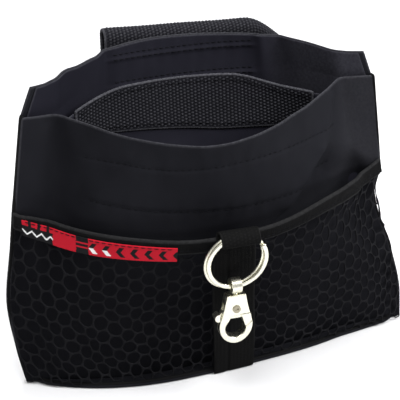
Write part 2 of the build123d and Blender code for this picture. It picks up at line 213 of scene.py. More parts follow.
# Camera: the place it looks at, its distance in metres, its angles in degrees, and its lens
TARGET = Vector((-3.0, 7.0, 74.4)) * MM
DISTANCE = 588.6 * MM
AZIMUTH = -18.8
ELEVATION = 26.0
LENS = 113.7

# Studio: the floor in metres, the sky's strength, and each light's azimuth and elevation in
# degrees, its distance and size in metres, and its power in watts
FLOOR_HALF = 6
FLOOR_COLOUR = (0.61, 0.61, 0.62, 1)
SKY_STRENGTH = 0.47
LIGHTS = {
    "key": (58, 40, 1.1, 0.5, 17),
    "fill": (-40, 52, 1.3, 0.8, 4),
    "top": (170, 60, 1.2, 0.5, 12),
    "overhead": (-60, 74, 1.2, 0.5, 9),
}


# Mesh helpers

def node_points(node):
    """The corners of a CAD node, in millimetres."""
    return np.array([v.co for v in frame["nodes"][node].data.vertices]) / MM


def smooth_line(points):
    """A height for every x: a smooth curve through given points, level at its highs and lows."""
    x, y = np.array(points, float).T
    run = np.diff(x)
    slope = np.diff(y) / run
    left, right = slope[:-1], slope[1:]
    steady = left * right > 0
    tangent = np.concatenate([slope[:1], np.zeros(len(left)), slope[-1:]])
    tangent[1:-1][steady] = 2 * left[steady] * right[steady] / (left + right)[steady]

    def height(at):
        at = np.clip(at, x[0], x[-1])
        i = np.clip(np.searchsorted(x, at) - 1, 0, len(run) - 1)
        t = (at - x[i]) / run[i]
        ends = y[i] * (1 + 2 * t) * (1 - t) ** 2 + y[i + 1] * t * t * (3 - 2 * t)
        return ends + run[i] * t * (1 - t) * ((1 - t) * tangent[i] - t * tangent[i + 1])

    return height


def normals_of(face):
    """Unit normals of a grid of points; its columns run right and its rows run up."""
    across = np.gradient(face, axis=1)
    up = np.gradient(face, axis=0)
    normal = np.cross(across, up)
    return normal / np.maximum(np.linalg.norm(normal, axis=2, keepdims=True), 1e-9)


def flat_of(face):
    """Distances along the cloth from the middle column and from the lowest row."""
    along = np.linalg.norm(np.diff(face, axis=1), axis=2)
    along = np.concatenate([np.zeros((face.shape[0], 1)), np.cumsum(along, axis=1)], axis=1)
    along -= along[:, face.shape[1] // 2][:, None]
    up = np.linalg.norm(np.diff(face, axis=0), axis=2)
    up = np.concatenate([np.zeros((1, face.shape[1])), np.cumsum(up, axis=0)], axis=0)
    return along, up


def distances(path):
    """Distances along a path from its first point."""
    return np.concatenate([[0], np.cumsum(np.linalg.norm(np.diff(path, axis=0), axis=1))])


def averaged(values, reach):
    """Values eased by a running average over some neighbours on each side."""
    count = 2 * reach + 1
    return np.convolve(np.pad(values, reach, mode="edge"), np.ones(count) / count, mode="valid")


def grid_quads(rows, columns, first=0):
    """Quads of a grid of points numbered row by row."""
    return [
        (first + r * columns + c, first + r * columns + c + 1,
         first + (r + 1) * columns + c + 1, first + (r + 1) * columns + c)
        for r in range(rows - 1) for c in range(columns - 1)
    ]


def tube_quads(near, far, around):
    """Quads between two rings of a tube, given the first point of each."""
    return [
        (near + k, far + k, far + (k + 1) % around, near + (k + 1) % around) for k in range(around)
    ]


def linked(name, data):
    """A new object in the scene."""
    made = bpy.data.objects.new(name, data)
    bpy.context.scene.collection.objects.link(made)
    return made


def piece(name, points, faces, material, body="pouch", slot=None, stands_for=(),
          cloth=None, wear_and_light=None, shade=None):
    """Make a smooth mesh piece that rides on a CAD body."""
    mesh = bpy.data.meshes.new(name)
    mesh.from_pydata((np.asarray(points, float) * MM).tolist(), [], faces)
    if cloth is not None:
        flat = (np.asarray(cloth, float) * MM).ravel()
        mesh.attributes.new("cloth", "FLOAT_VECTOR", "POINT").data.foreach_set("vector", flat)
    for kind, values in (("wear_and_light", wear_and_light), ("shade", shade)):
        if values is not None:
            mesh.attributes.new(kind, "FLOAT", "POINT").data.foreach_set("value", np.asarray(values, float))
    work = bmesh.new()
    work.from_mesh(mesh)
    bmesh.ops.recalc_face_normals(work, faces=work.faces)
    work.to_mesh(mesh)
    work.free()
    mesh.shade_smooth()
    mesh.materials.append(material)
    made = linked(name, mesh)
    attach(made, body)
    if stands_for:
        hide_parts(*stands_for)
    return made


def shell(name, face, thickness, material, lit_and_worn=0.0, shade=0.0, **how):
    """Close a sheet: its face, the same sheet set back along its normals, and rounded edges.
    Its pale amount is a painted light that makes the face paler, and shade is a painted shade that makes it
    darker; the edges are fully pale, partly from wear and partly as a painted highlight, but not at the
    base."""
    rows, columns = face.shape[:2]
    normal = normals_of(face)
    thick = np.broadcast_to(np.asarray(thickness, float), (rows, columns))[..., None]
    back = face - normal * thick
    along, up = flat_of(face)
    flat = np.stack([along, up, np.zeros_like(up)], axis=2)
    loop = [(0, c) for c in range(columns)] + [(r, columns - 1) for r in range(1, rows)]
    loop += [(rows - 1, c) for c in range(columns - 2, -1, -1)] + [(r, 0) for r in range(rows - 2, 0, -1)]
    r = np.array([p[0] for p in loop])
    c = np.array([p[1] for p in loop])
    inner = face[np.clip(r, 1, rows - 2), np.clip(c, 1, columns - 2)]
    outward = face[r, c] - inner
    outward /= np.linalg.norm(outward, axis=1, keepdims=True)
    middle = (face[r, c] + back[r, c]) / 2
    points = [face.reshape(-1, 3), back.reshape(-1, 3)]
    cloth = [flat.reshape(-1, 3), flat.reshape(-1, 3)]
    # Edges are paler: partly wear, partly a painted highlight where the rounded rim catches the light.
    edge_wear_and_highlight = np.clip((face[r, c, 2] - 8) / 10, 0, 1)
    face_wear_and_light = np.array(np.broadcast_to(lit_and_worn, (rows, columns)), float)
    face_wear_and_light[r, c] = edge_wear_and_highlight
    wear_and_light = [face_wear_and_light.ravel(), face_wear_and_light.ravel()]
    face_shade = np.broadcast_to(shade, (rows, columns))
    dark = [face_shade.ravel(), face_shade.ravel()]
    rings = [r * columns + c]
    count = 2 * rows * columns
    for step in range(1, EDGE_STEPS):
        turn = math.pi * step / EDGE_STEPS
        bulge = normal[r, c] * math.cos(turn) + outward * math.sin(turn)
        points.append(middle + bulge * thick[r, c] / 2)
        cloth.append(flat[r, c])
        wear_and_light.append(edge_wear_and_highlight)
        dark.append(face_shade[r, c])
        rings.append(count + np.arange(len(loop)))
        count += len(loop)
    rings.append(rows * columns + r * columns + c)
    faces = grid_quads(rows, columns)
    faces += [q[::-1] for q in grid_quads(rows, columns, rows * columns)]
    for near, far in zip(rings, rings[1:]):
        following = np.roll(np.arange(len(loop)), -1)
        faces += [
            (int(near[i]), int(far[i]), int(far[j]), int(near[j])) for i, j in enumerate(following)
        ]
    return piece(name, np.concatenate(points), faces, material,
                 cloth=np.concatenate(cloth), wear_and_light=np.concatenate(wear_and_light), shade=np.concatenate(dark), **how)


def sweep(name, path, sides, profile, material, closed=False, **how):
    """Sweep a closed profile along a path. sides gives each path point its two profile axes."""
    first, second = sides
    shape = np.array(profile)
    rings = path[:, None] + first[:, None] * shape[..., 0:1] + second[:, None] * shape[..., 1:2]
    count, around = rings.shape[:2]
    flat = distances(path)[:, None], distances(rings[0])[None], np.zeros((count, around))
    cloth = np.stack(np.broadcast_arrays(*flat), axis=2)
    faces = []
    for i in range(count if closed else count - 1):
        faces += tube_quads(i * around, ((i + 1) % count) * around, around)
    if not closed:
        faces += [tuple(range(around)), tuple(reversed(range((count - 1) * around, count * around)))]
    return piece(name, rings.reshape(-1, 3), faces, material, cloth=cloth.reshape(-1, 3), **how)


def rounded_rectangle(width, height, corner, steps=4):
    """The outline of a rounded rectangle round the origin."""
    outline = []
    for quarter, (sx, sy) in enumerate(((1, 1), (-1, 1), (-1, -1), (1, -1))):
        for step in range(steps + 1):
            turn = math.pi / 2 * (quarter + step / steps)
            outline.append((
                sx * (width / 2 - corner) + corner * math.cos(turn),
                sy * (height / 2 - corner) + corner * math.sin(turn),
            ))
    return outline


def stitches(name, face, row, slot):
    """Single stitches along one row of a face, each a small bowed thread."""
    path, normal = face[row], normals_of(face)[row]
    length = distances(path)
    around = 6
    points, faces = [], []
    for start in np.arange(STITCH_PITCH / 2, length[-1] - STITCH_LENGTH, STITCH_PITCH):
        ring_ids = []
        for share, girth, lift in STITCH_SHAPE:
            at = start + share * STITCH_LENGTH
            place = np.array([np.interp(at, length, path[:, k]) for k in range(3)])
            ahead = np.array([np.interp(at + 0.4, length, path[:, k]) for k in range(3)]) - place
            out = np.array([np.interp(at, length, normal[:, k]) for k in range(3)])
            ahead /= np.linalg.norm(ahead)
            side = np.cross(out, ahead)
            place = place + out * lift * THREAD
            ring_ids.append(len(points))
            for k in range(around):
                turn = 2 * math.pi * k / around
                points.append(place + girth * THREAD * (side * math.cos(turn) + out * math.sin(turn)))
        for near, far in zip(ring_ids, ring_ids[1:]):
            faces += tube_quads(near, far, around)
        faces += [
            tuple(ring_ids[0] + k for k in range(around)),
            tuple(ring_ids[-1] + k for k in reversed(range(around))),
        ]
    return piece(name, points, faces, THREAD_SKIN, cloth=np.array(points), slot=slot)


# The CAD walls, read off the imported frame

def seam_line():
    """Half width of the bag and y of its side seams, by height."""
    tape = node_points("side_seam_right")
    rows = []
    for level in np.unique(np.round(tape[:, 2], 1)):
        near = tape[np.abs(tape[:, 2] - level) < 0.2]
        rows.append((level, near[:, 0].min(), near[:, 1].mean()))
    back = node_points("back_panel")
    top = back[back[:, 2] > back[:, 2].max() - 0.2]
    rows.append((back[:, 2].max(), top[:, 0].max(), rows[-1][2]))
    return np.array(rows)


SEAM = seam_line()
side_shift = {side: smooth_line(points) for side, points in SIDE_SHIFT.items()}
foot_shift = smooth_line(FOOT_SHIFT)


def half_width(height, share=1.0):
    """From the middle to the side seam on the side that a share of the width is on."""
    height = np.asarray(height, float)
    shift = np.where(np.asarray(share) < 0, side_shift[-1](height), side_shift[1](height))
    return np.interp(height, SEAM[:, 0], SEAM[:, 1]) + shift


def cad_tree(*nodes):
    """A search tree over the meshes of CAD nodes."""
    corners, polygons = [], []
    for name in nodes:
        mesh = frame["nodes"][name].data
        first = len(corners)
        corners += [v.co.copy() for v in mesh.vertices]
        polygons += [[first + i for i in p.vertices] for p in mesh.polygons]
    return BVHTree.FromPolygons(corners, polygons)


def met(tree, x, height, side):
    """y where a level line meets a tree, from the front for side 1 or from behind for -1, or nan."""
    hit = tree.ray_cast(Vector((x, -side * 300, height)) * MM, Vector((0, side, 0)))[0]
    return math.nan if hit is None else hit.y / MM


def foot_drift(x, height):
    """How far the foot of the bag has moved back, fading upwards."""
    return foot_shift(x) * np.exp(-height / FOOT_REACH)


def near_seam(share):
    """How much a wall follows the side seams: 1 at a seam, and 0 over most of the wall."""
    return np.clip((np.abs(share) - SEAM_START) / (1 - SEAM_START), 0, 1) ** 2


def swollen(place, share):
    """Push net points out past the side seams, where the full pocket bulges round them."""
    turn = np.clip((np.abs(share) - SWELL_START) / (1 - SWELL_START), 0, 1)
    height = place[..., 2]
    amount = np.where(share < 0, SWELL[-1], SWELL[1] * np.clip(1.4 - np.abs(height - 54) / 20, 0, 1))
    amount = amount * np.clip(height / 20, 0, 1)
    place[..., 0] += np.sign(share) * amount * np.sin(math.pi * turn)
    return place


class Wall:
    """One face of a CAD wall as y over share of half width and height, with its ruled rows smoothed."""

    def __init__(self, nodes, side, top, foot=False):
        tree = cad_tree(*nodes)
        self.foot = foot
        self.heights = np.arange(1.0, top + 1.0, 1.0)
        self.shares = np.linspace(-1, 1, 201)
        halves = np.interp(self.heights, SEAM[:, 0], SEAM[:, 1]) - 0.7
        self.y = self.smoothed(self.filled(np.array([
            [met(tree, share * half, max(height, 1.8), side) for share in self.shares]
            for height, half in zip(self.heights, halves)
        ])))

    @staticmethod
    def filled(found):
        """Carry each column on upwards, above the last height where the CAD wall was met."""
        for column in found.T:
            known = np.flatnonzero(~np.isnan(column))
            last = known[-1]
            slope = (column[last] - column[max(last - 10, known[0])]) / 10
            for i in range(len(column)):
                if np.isnan(column[i]) and i > last:
                    column[i] = column[last] + slope * (i - last)
                elif np.isnan(column[i]):
                    column[i] = column[known[np.searchsorted(known, i)]]
        return found

    @staticmethod
    def smoothed(y):
        """Ease the wall's rows upwards over WALL_EASING, and a little across."""
        reach = np.arange(-3 * WALL_EASING, 3 * WALL_EASING + 1)
        kernel = np.exp(-((reach / WALL_EASING) ** 2) / 2)
        kernel /= kernel.sum()
        ends = len(reach) // 2
        low = 2 * y[0] - y[1 : ends + 1][::-1]
        high = 2 * y[-1] - y[-ends - 1 : -1][::-1]
        tall = np.concatenate([low, y, high])
        eased = np.stack([np.convolve(column, kernel, mode="valid") for column in tall.T], axis=1)
        wide = np.pad(eased, ((0, 0), (3, 3)), mode="edge")
        return sum(w * wide[:, i : i + eased.shape[1]] for i, w in enumerate((1, 2, 3, 4, 3, 2, 1))) / 16

    def at(self, share, height):
        """y at shares of the half width and heights, as arrays of one shape."""
        rows, columns = len(self.heights) - 1, len(self.shares) - 1
        i = np.clip(np.asarray(height, float) - self.heights[0], 0, rows - 0.001)
        j = np.clip((np.asarray(share, float) + 1) / 2 * columns, 0, columns - 0.001)
        low, left = i.astype(int), j.astype(int)
        up, right = i - low, j - left
        lower = self.y[low, left] * (1 - right) + self.y[low, left + 1] * right
        upper = self.y[low + 1, left] * (1 - right) + self.y[low + 1, left + 1] * right
        return lower * (1 - up) + upper * up

    def point(self, x, height):
        """Points of the wall at x and heights."""
        x, height = np.broadcast_arrays(np.asarray(x, float), np.asarray(height, float))
        share = x / half_width(height, x)
        y = self.at(share, height) + foot_drift(x, height) * (1 if self.foot else near_seam(share))
        return np.stack([x, y, height], axis=-1)

    def grid(self, low, high, columns, rows, left=-1.0, right=1.0):
        """A grid of wall points between two edges, from share left to share right of the half width."""
        share = np.linspace(left, right, columns)[None]
        rise = np.linspace(0, 1, rows)[:, None]
        x = share * half_width(110.0)
        bottom, top = low(x), high(x)
        height = bottom + (top - bottom) * rise
        return self.point(share * half_width(height, share), height)

    def row(self, line, left, right, columns):
        """Three rows of wall points between two x places; the middle row is a sewn line."""
        return self.band(lambda x: line(x) - 1, lambda x: line(x) + 1, left, right, columns, 3)

    def band(self, low, high, left, right, columns, rows):
        """A grid of wall points between two edges and two x places."""
        x = np.linspace(left, right, columns)[None]
        height = low(x) + (high(x) - low(x)) * np.linspace(0, 1, rows)[:, None]
        return self.point(np.broadcast_to(x, height.shape), height)


# Relief of the cloth

def rolling(face, size, strength, seed):
    """Soft unevenness of a cloth face: noise of a given size and strength."""
    flat = face.reshape(-1, 3)
    values = [noise.noise(Vector((p[0] / size[0], p[2] / size[1], seed))) for p in flat]
    return strength * np.array(values).reshape(face.shape[:2])


def soft_sheet(face, wide, narrow):
    """Soft unevenness in two sizes, which fades out at the foot."""
    return (rolling(face, *wide) + rolling(face, *narrow)) * np.clip((face[..., 2] - 4) / 20, 0, 1)


def fold(face, start, end, depth, width, spread):
    """A crease or ridge along a straight run from start to end, fading at both ends."""
    x, height = face[..., 0], face[..., 2]
    run = np.subtract(end, start)
    along = ((x - start[0]) * run[0] + (height - start[1]) * run[1]) / (run @ run)
    share = np.clip(along, 0, 1)
    away = np.hypot(x - start[0] - share * run[0], height - start[1] - share * run[1])
    girth = width + spread * share
    return depth * np.exp(-((away / girth) ** 2)) * np.where(along > 1, np.exp(-((along - 1) * 3) ** 2), 1)


def groove(face, level, depth, width, half):
    """A stitch line sunk across the cloth at one height, with small puckers beside it."""
    x, height = face[..., 0], face[..., 2]
    inside = 1 / (1 + np.exp((np.abs(x) - half) / 0.8))
    away = height - level
    puckers = 0.35 * np.sin(x * 2 * math.pi / 7.3 + np.sin(x / 9.0)) * np.exp(-((away / 5) ** 2))
    return inside * (-depth * np.exp(-((away / width) ** 2)) + depth * puckers)


def raised(face, low, high, half, amount):
    """A layer sewn in between two heights, which lifts the cloth a little."""
    x, height = face[..., 0], face[..., 2]
    across = 1 / (1 + np.exp((np.abs(x) - half) / 1.0))
    return amount * across / (1 + np.exp(-(height - low) / 0.7)) / (1 + np.exp((height - high) / 0.7))


def grains(face):
    """The grains of coarse webbing, 0 to 1, in columns where every other one is half a grain up."""
    along, up = flat_of(face)
    column = along / WEAVE[0]
    row = up / WEAVE[1] + 0.5 * (np.round(column) % 2)
    across = (column - np.round(column)) * WEAVE[0] / WEAVE_GRAIN[0]
    upward = (row - np.round(row)) * WEAVE[1] / WEAVE_GRAIN[1]
    edge = np.minimum(np.minimum(up, up[-1:] - up), np.minimum(along - along[:, :1], along[:, -1:] - along))
    return np.clip(1.35 * np.exp(-(across ** 2) - upward ** 2) - 0.35, 0, 1) * np.clip(edge - 0.2, 0, 1)


def webbing_shell(name, face, thickness, skin=None, coarse=1.0, **how):
    """A length of webbing: its grains stand up, and their tops are paler, a painted highlight."""
    grain = grains(face)
    face = lifted(face, WEAVE_RELIEF * coarse * (grain - 1))
    # The grain tops get the pale tone: a painted highlight.
    return shell(name, face, thickness, skin or WEBBING_SKIN, lit_and_worn=1.1 * grain, slot="webbing", **how)


def ribbed(face, pitch=1.1, height=0.3):
    """Fine ribs across a binding tape."""
    along, _ = flat_of(face)
    return height * (np.cos(2 * math.pi * along / pitch) - 1) / 2


def lifted(face, relief):
    """Move a face along its normals, by a relief or by one height."""
    return face + normals_of(face) * np.broadcast_to(relief, face.shape[:2])[..., None]


# Materials

def new_material(name):
    material = bpy.data.materials.new(name)
    material.use_nodes = True
    nodes = material.node_tree.nodes
    return material, material.node_tree, nodes["Principled BSDF"]


def node(tree, kind, links=None, **settings):
    """Add a shader node, set its sockets and properties, and link inputs from other sockets."""
    made = tree.nodes.new(kind)
    for key, value in settings.items():
        if key in made.inputs:
            made.inputs[key].default_value = value
        else:
            setattr(made, key, value)
    for key, source in (links or {}).items():
        tree.links.new(source, made.inputs[key])
    return made


def attribute(tree, name, output):
    """What piece() stored at the points of a mesh."""
    return node(tree, "ShaderNodeAttribute", attribute_name=name).outputs[output]


def uneven(tree, place, scale, detail, roughness=0.5):
    """A noise over a place, 0 to 1."""
    return node(tree, "ShaderNodeTexNoise", {"Vector": place},
                Scale=scale, Detail=detail, Roughness=roughness).outputs["Fac"]


def ranged(tree, value, low, high):
    """A value from 0 to 1, made to run from low to high."""
    made = node(tree, "ShaderNodeMapRange", {"Value": value}, **{"To Min": low, "To Max": high})
    return made.outputs[0]


def combined(tree, operation, first, second):
    """Two values put together by one operation."""
    return node(tree, "ShaderNodeMath", {0: first, 1: second}, operation=operation).outputs[0]


def blended(tree, first, second, factor):
    """A mix of two colours, each a plain one or a socket."""
    made = node(tree, "ShaderNodeMix", {0: factor}, data_type="RGBA")
    for socket, colour in ((6, first), (7, second)):
        if isinstance(colour, bpy.types.NodeSocket):
            tree.links.new(colour, made.inputs[socket])
        else:
            made.inputs[socket].default_value = (*colour, 1)
    return made.outputs[2]


def darkened(tree, colour, amount):
    """A colour times an amount."""
    made = node(tree, "ShaderNodeMix", {6: colour, 7: amount}, data_type="RGBA", blend_type="MULTIPLY")
    made.inputs[0].default_value = 1.0
    return made.outputs[2]


def finish_shader(tree, shader, colour, roughness, height, strength, depth):
    """Link a shader's colour, roughness and bump; a depth is in millimetres."""
    bump = node(tree, "ShaderNodeBump", {"Height": height}, Strength=strength, Distance=depth * MM)
    tree.links.new(colour, shader.inputs["Base Color"])
    tree.links.new(bump.outputs[0], shader.inputs["Normal"])
    if roughness is not None:
        tree.links.new(roughness, shader.inputs["Roughness"])


def threads(tree, flat, pitch, direction):
    """Parallel threads: a wave over the flat cloth, whose period is pi / 10 over its scale."""
    wave = node(tree, "ShaderNodeTexWave", {"Vector": flat}, bands_direction=direction,
                Scale=math.pi / 10 / (pitch * MM), Distortion=0.6, Detail=1.0)
    return wave.outputs["Fac"]


def cloth_material(name, dark, light, lit_and_worn, pitch, depth=0.10, roughness=0.60, specular=0.015):
    """Woven cloth: crossed threads, uneven dye, painted shade, and a paler tone for worn edges, painted
    highlights and painted light.
    """
    material, tree, shader = new_material(name)
    flat = attribute(tree, "cloth", "Vector")
    weave = combined(tree, "MAXIMUM", threads(tree, flat, pitch, "X"), threads(tree, flat, pitch, "Y"))
    place = node(tree, "ShaderNodeTexCoord").outputs["Object"]
    blotch = uneven(tree, place, 38.0, 5.0, 0.6)
    speck = uneven(tree, place, 900.0, 2.0)
    colour = darkened(tree, blended(tree, dark, light, blotch), ranged(tree, weave, 0.62, 1.12))
    colour = darkened(tree, colour, ranged(tree, attribute(tree, "shade", "Fac"), 1.0, SHADE_DEPTH))
    # Paler where worn, and where a highlight or light is painted on.
    patchy = combined(tree, "MULTIPLY", attribute(tree, "wear_and_light", "Fac"), speck)
    colour = blended(tree, colour, lit_and_worn, patchy)
    gloss = ranged(tree, blotch, roughness - 0.08, roughness + 0.1)
    finish_shader(tree, shader, colour, gloss, combined(tree, "ADD", weave, speck), 0.55, depth)
    shader.inputs["Specular IOR Level"].default_value = specular
    return material


def metal_material(name, colour, roughness):
    """Plated metal: fine casting unevenness and light scratches."""
    material, tree, shader = new_material(name)
    place = node(tree, "ShaderNodeTexCoord").outputs["Object"]
    grain = uneven(tree, place, 260.0, 6.0, 0.65)
    stretched = node(tree, "ShaderNodeMapping", {"Vector": place},
                     Scale=(900, 900, 60), Rotation=(0.3, 0.5, 0.9))
    scratch = uneven(tree, stretched.outputs[0], 2.0, 3.0)
    tone = blended(tree, [c * 0.86 for c in colour], colour, grain)
    gloss = ranged(tree, scratch, roughness * 0.6, roughness * 1.5)
    finish_shader(tree, shader, tone, gloss, grain, 0.12, 0.05)
    shader.inputs["Metallic"].default_value = 1.0
    return material


def label_material():
    """Woven ribbon: its colours are in the cloth, and fine threads run across it."""
    material, tree, shader = new_material("woven_ribbon")
    weft = threads(tree, attribute(tree, "cloth", "Vector"), 0.34, "Y")
    colour = darkened(tree, attribute(tree, "yarn", "Color"), ranged(tree, weft, 0.78, 1.05))
    finish_shader(tree, shader, colour, None, weft, 0.4, 0.12)
    shader.inputs["Roughness"].default_value = 0.6
    shader.inputs["Specular IOR Level"].default_value = 0.05
    return material


# Each cloth's pale tone serves its worn edges and also the painted light and painted highlights on it.
NYLON_SKIN = cloth_material(
    "black_nylon", dark=(0.0060, 0.0060, 0.0078), light=(0.0138, 0.0141, 0.0172),
    lit_and_worn=(0.042, 0.042, 0.048), pitch=0.42, roughness=0.62,
)
LINING_SKIN = cloth_material(
    "black_lining", dark=(0.0080, 0.0076, 0.0115), light=(0.0150, 0.0150, 0.0210),
    lit_and_worn=(0.042, 0.042, 0.05), pitch=0.36, depth=0.08,
)
WEBBING_SKIN = cloth_material(
    "black_webbing", dark=(0.0045, 0.0045, 0.006), light=(0.0085, 0.0085, 0.011),
    lit_and_worn=(0.085, 0.085, 0.096), pitch=0.30,
)
STRAP_SKIN = cloth_material(
    "black_strap", dark=(0.0032, 0.0032, 0.0033), light=(0.0068, 0.0068, 0.0069),
    lit_and_worn=(0.011, 0.011, 0.011), pitch=0.30, specular=0.01,
)
TAPE_SKIN = cloth_material(
    "black_tape", dark=(0.0042, 0.0042, 0.0045), light=(0.0085, 0.0085, 0.0088),
    lit_and_worn=(0.024, 0.024, 0.025), pitch=0.30, roughness=0.65, specular=0.01,
)
NET_SKIN = cloth_material(
    "black_net", dark=(0.0056, 0.0056, 0.0066), light=(0.0120, 0.0120, 0.0135),
    lit_and_worn=(0.04, 0.04, 0.045), pitch=0.26, depth=0.12, specular=0.01,
)
THREAD_SKIN = cloth_material(
    "black_thread", dark=(0.005, 0.005, 0.006), light=(0.010, 0.010, 0.012),
    lit_and_worn=(0.03, 0.03, 0.03), pitch=0.20, depth=0.06,
)
NICKEL = metal_material("nickel", (0.86, 0.84, 0.71), 0.27)
DARK_NICKEL = metal_material("dark_nickel", (0.36, 0.33, 0.25), 0.34)
RIBBON = label_material()


# Bag panels

front_wall = Wall(["front_panel"], 1, 128, foot=True)
back_wall = Wall(["back_panel"], -1, 144)
divider_wall = Wall(["divider_panel"], 1, 128)
pocket_wall = Wall(["mesh_pocket", "pocket_binding"], -1, 90, foot=True)

base_line = smooth_line([(-100, 1.8), (100, 1.8)])
front_rim = smooth_line(FRONT_RIM)
back_rim = smooth_line(BACK_RIM)
divider_rim = smooth_line(DIVIDER_RIM)
divider_band_foot = smooth_line(DIVIDER_BAND_FOOT)
pocket_edge = smooth_line(POCKET_EDGE)
channel = [smooth_line(CHANNEL_FOOT), smooth_line(CHANNEL_TOP)]


def front_relief(face):
    """Front panel: a stiffened channel, two stitch lines, creases below both kinks, soft wrinkles."""
    relief = soft_sheet(face, ((26, 34), 1.1, 1.7), ((9, 17), 0.3, 4.1))
    low, high = (line(face[..., 0]) for line in channel)
    relief += raised(face, low, high, CHANNEL_HALF, 0.3)
    relief += groove(face, low, 0.3, 0.8, CHANNEL_HALF)
    relief += groove(face, high, 0.3, 0.8, CHANNEL_HALF)
    for crease in FRONT_CREASES:
        relief += fold(face, *crease)
    return relief - tuck(face)


def tuck(face):
    """The hollow between the kink at the right, the stiff flange above it and the pocket's edge."""
    x, height = face[..., 0], face[..., 2]
    (left, low), (right, high) = TUCK_RIDGE
    ridge = left + (height - low) * (right - left) / (high - low)
    (left, high), (right, low) = TUCK_BROW
    brow = high - (x - left) * (high - low) / (right - left)
    inward = np.clip((x - ridge) / TUCK_RIDGE_FADE, 0, 1) * np.clip((brow - height) / TUCK_BROW_FADE, 0, 1)
    inward = inward * np.clip((height - TUCK_FOOT) / TUCK_BROW_FADE, 0, 1)
    inward = inward * np.clip((TUCK_END - x) / TUCK_END_FADE, 0, 1)
    return TUCK_DEPTH * inward * inward * (3 - 2 * inward)


def back_relief(face):
    """Back panel, seen from inside: creases at both ends of the belt loop and at both kinks."""
    relief = soft_sheet(face, ((24, 36), 0.7, 7.7), ((8, 15), 0.2, 9.3))
    for level in LOOP_ROWS:
        relief += groove(face, level, 0.4, 0.8, LOOP_SPAN[1])
    for crease in BACK_CREASES:
        relief += fold(face, *crease)
    return relief


def make_panels():
    face = front_wall.grid(base_line, front_rim, 231, 141)
    # Painted shadow on the cloth behind the net, painted shade in a band down the left of the front, and
    # painted light on the right flange above the net.
    behind_net = 1 / (1 + np.exp((face[..., 2] - pocket_edge(face[..., 0]) + 1.0) / 0.6))
    painted_shade = 0.5 * np.exp(-(((face[..., 0] + 60) / 13) ** 2))
    painted_light = 0.35 * np.clip((face[..., 0] - 60) / 12, 0, 1)
    shell("front_panel_cloth", lifted(face, front_relief(face)), NYLON, NYLON_SKIN,
          lit_and_worn=painted_light * (1 - behind_net), shade=np.maximum(behind_net, painted_shade),
          slot="nylon", stands_for=["front_panel", "front_stiffener"])
    face = back_wall.grid(base_line, back_rim, 221, 151)
    shell("back_panel_cloth", lifted(face, -back_relief(face))[:, ::-1], NYLON, NYLON_SKIN,
          slot="nylon", stands_for=["back_panel"])


def make_facings():
    """The turned-in hems behind both rims."""
    face = front_wall.grid(lambda x: front_rim(x) - FACING_DEPTH, lambda x: front_rim(x) - 0.4,
                           201, 45, -0.75, 0.75)
    inner = lifted(face, front_relief(face) - NYLON - LAYER_GAP)
    shell("front_rim_lining", inner, FACING, LINING_SKIN, slot="lining", stands_for=["front_rim_facing"])
    face = back_wall.grid(lambda x: back_rim(x) - FACING_DEPTH, lambda x: back_rim(x) - 0.4,
                          201, 61, -0.97, 0.97)
    inner = lifted(face, -back_relief(face) + NYLON + LAYER_GAP)
    # Painted light on the right end of the back lining.
    painted_light = 0.8 * np.clip((inner[..., 0] - 38) / 20, 0, 1)
    shell("back_rim_lining", lifted(inner, FACING), FACING, LINING_SKIN, lit_and_worn=painted_light,
          slot="lining", stands_for=["back_rim_facing"])


def divider_relief(face):
    return rolling(face, (22, 30), 0.9, 3.3)


def make_divider():
    face = divider_wall.grid(base_line, lambda x: divider_rim(x) - 0.6, 171, 111, -0.985, 0.985)
    relief = divider_relief(face) * np.clip((face[..., 2] - 6) / 30, 0, 1)
    shell("divider_cloth", lifted(face, relief), DIVIDER, LINING_SKIN,
          slot="lining", stands_for=["divider_panel"])
    face = divider_wall.band(divider_band_foot, divider_rim, -DIVIDER_BAND_HALF, DIVIDER_BAND_HALF, 301, 68)
    band = lifted(face, divider_relief(face) + WEBBING + BAND_GAP)
    webbing_shell("divider_webbing_band", band, WEBBING, stands_for=["divider_webbing"])


make_panels()
make_facings()
make_divider()


# Net pocket, its bound edge and the label on it

def net_cells():
    """Middles and corners of the net's six-sided cells, on the flat pocket, with a slow turn
    across the pocket, so that the rows lean one way at the left and the other way at the right."""
    middles = np.array([
        (i * NET_COLUMN, (j + 0.5 * (i % 2)) * NET_ROW)
        for i in range(-NET_REACH, NET_REACH + 1) for j in range(-6, 20)
    ])
    wide, tall = NET_COLUMN * 2 / 3, NET_ROW / 2
    outline = np.array([
        (wide, 0), (wide / 2, tall), (-wide / 2, tall), (-wide, 0), (-wide / 2, -tall), (wide / 2, -tall),
    ])
    corners = middles[:, None] + outline[None]

    def turned(flat):
        place = flat[..., 0] + 1j * flat[..., 1]
        bent = np.log(1 + 1j * NET_TURN * place) / (1j * NET_TURN)
        return np.stack([bent.real, bent.imag], axis=-1)

    return turned(middles), turned(corners)


